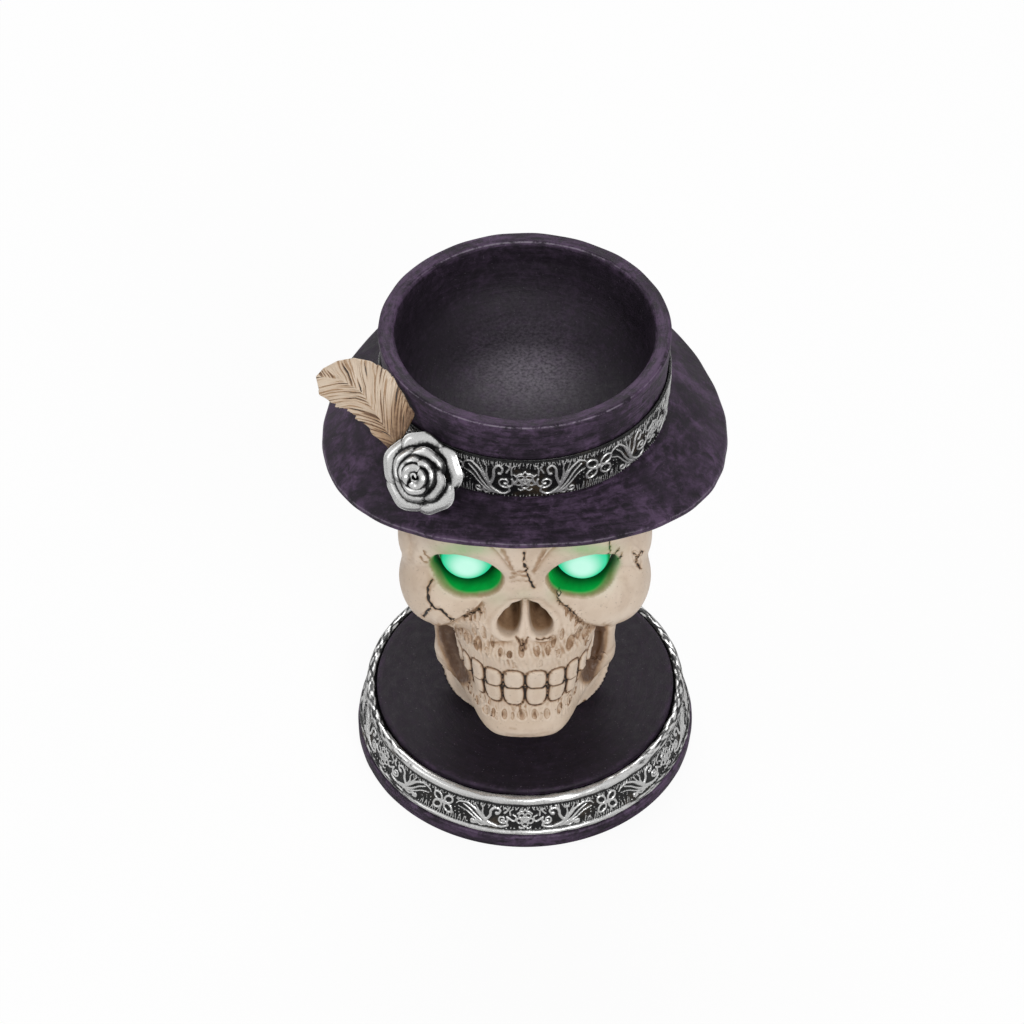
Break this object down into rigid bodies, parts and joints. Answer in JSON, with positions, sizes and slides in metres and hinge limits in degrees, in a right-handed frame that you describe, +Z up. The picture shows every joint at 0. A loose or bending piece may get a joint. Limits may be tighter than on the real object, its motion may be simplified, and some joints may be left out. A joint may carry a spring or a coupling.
{
  "type": "skull candle holder",
  "caption": "Skull candle holder: a resin skull on a round base wears a brimmed hat whose open crown is a bowl for a candle or sweets, and battery lights glow in its eyes.",
  "frame": {"origin": "middle of the plane that the feet stand on", "axes": "+Z up, the face looks along -Y, the rose and feather are on the -X side"},
  "size_m": [0.1626, 0.1626, 0.2326],
  "materials": {
    "bone_resin": "matte bone-coloured cast resin with a brown wash in the recesses",
    "hat_resin": "satin near-black resin dry-brushed with purple on edges and rims",
    "antique_silver": "antique silver paint dry-brushed over a black ground",
    "feather_resin": "matte bone-coloured cast resin with brown wash in its barbs",
    "eye_plastic": "translucent moulded dome, lit mint green from behind",
    "led_lens": "clear green light-emitting diode",
    "white_plastic": "moulded white plastic",
    "black_plastic": "fine-textured moulded black plastic",
    "rubber": "matte black rubber",
    "steel": "bright zinc-plated steel",
    "cell_jacket": "plain printed jacket without lettering",
    "circuit_board": "green solder mask",
    "lead_wire": "red insulated wire"
  },
  "bodies": {
    "root": {"base_plinth": "hat_resin", "base_trim_ring": "antique_silver", "battery_box": "black_plastic", "contact_strip_front": "steel", "contact_strip_back": "steel", "circuit_board": "circuit_board", "switch_body": "white_plastic", "neck_column": "bone_resin", "lower_jaw": "bone_resin", "skull": "bone_resin", "hat_brim": "hat_resin", "hat_crown": "hat_resin", "hat_band": "antique_silver", "rose": "antique_silver", "feather": "feather_resin", "foot_pad_1": "rubber", "box_screw_1": "steel", "foot_pad_2": "rubber", "box_screw_2": "steel", "foot_pad_3": "rubber", "box_screw_3": "steel", "foot_pad_4": "rubber", "box_screw_4": "steel", "aaa_cell_1": "cell_jacket", "aaa_cell_2": "cell_jacket", "aaa_cell_3": "cell_jacket", "eye_dome_left": "eye_plastic", "led_cup_left": "white_plastic", "eye_led_left": "led_lens", "led_lead_left": "lead_wire", "eye_dome_right": "eye_plastic", "led_cup_right": "white_plastic", "eye_led_right": "led_lens", "led_lead_right": "lead_wire"},
    "door": {"battery_door": "black_plastic"},
    "door_screw": {"door_screw": "steel"},
    "switch": {"switch_slider": "black_plastic"}
  },
  "joints": [
    {"name": "door_hinge", "type": "hinge", "parent": "root", "child": "door", "pos_m": [0, -0.03385, 0.0027], "axis": [-1, 0, 0], "range_deg": [0, 85]},
    {"name": "door_screw_turn", "type": "hinge", "parent": "door", "child": "door_screw", "pos_m": [0, 0.0181, 0.003], "axis": [0, 0, 1], "continuous": true},
    {"name": "switch_travel", "type": "slide", "parent": "root", "child": "switch", "axis": [1, 0, 0], "range_m": [-0.0015, 0.0015]}
  ]
}
